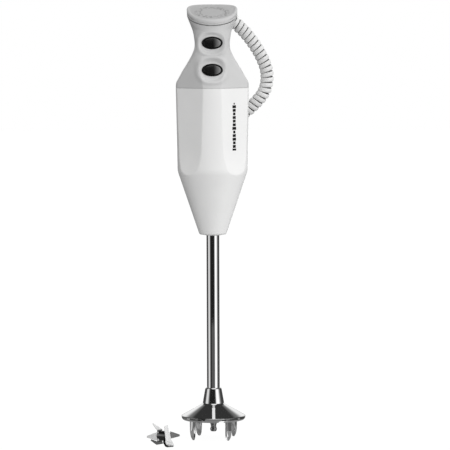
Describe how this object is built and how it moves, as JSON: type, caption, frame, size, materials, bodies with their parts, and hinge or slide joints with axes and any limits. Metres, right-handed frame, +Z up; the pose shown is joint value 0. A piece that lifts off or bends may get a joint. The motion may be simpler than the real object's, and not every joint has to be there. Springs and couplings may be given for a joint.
{
  "type": "immersion blender",
  "caption": "Upright stick mixer with a waisted handle, press buttons, a bright shaft, a footed blade guard, a curly mains cord and a loose push-on cross blade.",
  "frame": {"origin": "centre of the flat lower end of the drive pin inside the blade guard, on the shaft axis, 5.5 mm above the surface the guard's feet stand on", "axes": "+Z up along the shaft axis, -Y is the button side, +X is the side the cord leaves on"},
  "size_m": [0.0997, 0.1297, 0.3394],
  "materials": {
    "grey_shell": "satin mid-grey moulded plastic",
    "pale_shell": "glossy white moulded plastic",
    "black_rubber": "matt black",
    "button_plastic": "satin black",
    "chrome": "bright polished",
    "blade_steel": "bright stamped sheet",
    "shaft_steel": "ground bar",
    "lamination_steel": "stacked laminations",
    "copper_winding": null,
    "bronze_bush": "sintered bronze",
    "brass_fitting": "machined brass",
    "carbon": "pressed carbon, matt",
    "inner_plastic": "dark glass-filled moulding",
    "white_plastic": "natural moulding",
    "cord_sheath": "pale satin flexible sheath",
    "cord_tie": "woven strap",
    "spring_steel": "drawn wire"
  },
  "bodies": {
    "body": {"blade_guard": "chrome", "brush_holder_left": "brass_fitting", "brush_holder_right": "brass_fitting", "brush_spring_left": "spring_steel", "brush_spring_right": "spring_steel", "button_seal_lower": "black_rubber", "button_seal_upper": "black_rubber", "button_spring_lower": "spring_steel", "button_spring_upper": "spring_steel", "cord_gland": "cord_sheath", "cord_tail": "cord_sheath", "cord_tie": "cord_tie", "curly_cord": "cord_sheath", "field_coil_front": "copper_winding", "field_coil_rear": "copper_winding", "handle_shell": "grey_shell", "joint_ring": "inner_plastic", "lead_wire_left": "white_plastic", "lead_wire_right": "white_plastic", "lower_bearing": "bronze_bush", "lower_bracket": "inner_plastic", "lower_bush": "bronze_bush", "motor_housing": "pale_shell", "noise_capacitor": "brass_fitting", "plug_body": "cord_sheath", "plug_pin_left": "brass_fitting", "plug_pin_right": "brass_fitting", "shaft_seal": "black_rubber", "shaft_tube": "chrome", "speed_diode": "carbon", "stator_core": "lamination_steel", "stator_screw_left": "shaft_steel", "stator_screw_right": "shaft_steel", "switch_carrier": "inner_plastic", "switch_lower": "inner_plastic", "switch_upper": "inner_plastic", "terminal_block": "white_plastic", "top_cap": "grey_shell", "tube_collar": "brass_fitting", "upper_bearing": "bronze_bush", "upper_bracket": "inner_plastic", "upper_bush": "bronze_bush"},
    "rotor": {"drive_shaft": "shaft_steel", "shaft_coupling": "brass_fitting", "armature_shaft": "shaft_steel", "armature_core": "lamination_steel", "armature_winding_lower": "copper_winding", "armature_winding_upper": "copper_winding", "commutator": "brass_fitting"},
    "upper_button": {"button_upper": "button_plastic"},
    "lower_button": {"button_lower": "button_plastic"},
    "upper_plunger": {"switch_plunger_upper": "white_plastic"},
    "lower_plunger": {"switch_plunger_lower": "white_plastic"},
    "left_brush": {"carbon_brush_left": "carbon"},
    "right_brush": {"carbon_brush_right": "carbon"},
    "loose_blade": {"blade_hub": "shaft_steel", "blade_lower": "blade_steel", "blade_upper": "blade_steel"}
  },
  "joints": [
    {"name": "rotor_spin", "type": "hinge", "parent": "body", "child": "rotor", "pos_m": [0, 0, 0.2], "axis": [0, 0, 1], "continuous": true},
    {"name": "upper_button_press", "type": "slide", "parent": "body", "child": "upper_button", "axis": [0, 0.9848, -0.1736], "range_m": [0, 0.0018], "stiffness_N_per_m": 300, "springref_m": -0.001, "deforming": ["button_spring_upper"]},
    {"name": "upper_plunger_press", "type": "slide", "parent": "body", "child": "upper_plunger", "axis": [0, 0.9848, -0.1736], "range_m": [0, 0.0018]},
    {"name": "lower_button_press", "type": "slide", "parent": "body", "child": "lower_button", "axis": [0, 0.9848, -0.1736], "range_m": [0, 0.0018], "stiffness_N_per_m": 300, "springref_m": -0.001, "deforming": ["button_spring_lower"]},
    {"name": "lower_plunger_press", "type": "slide", "parent": "body", "child": "lower_plunger", "axis": [0, 0.9848, -0.1736], "range_m": [0, 0.0018]},
    {"name": "left_brush_wear", "type": "slide", "parent": "body", "child": "left_brush", "axis": [-1, 0, 0], "range_m": [0, 0.0025], "stiffness_N_per_m": 60, "springref_m": -0.002, "deforming": ["brush_spring_left"]},
    {"name": "right_brush_wear", "type": "slide", "parent": "body", "child": "right_brush", "axis": [1, 0, 0], "range_m": [0, 0.0025], "stiffness_N_per_m": 60, "springref_m": -0.002, "deforming": ["brush_spring_right"]},
    {"name": "loose_blade_lift", "type": "slide", "parent": "body", "child": "loose_blade", "axis": [0, 0, 1], "range_m": [0, 0.06]}
  ],
  "couplings": [
    {"joint": "upper_plunger_press", "follows": "upper_button_press", "ratio": 1},
    {"joint": "lower_plunger_press", "follows": "lower_button_press", "ratio": 1}
  ]
}
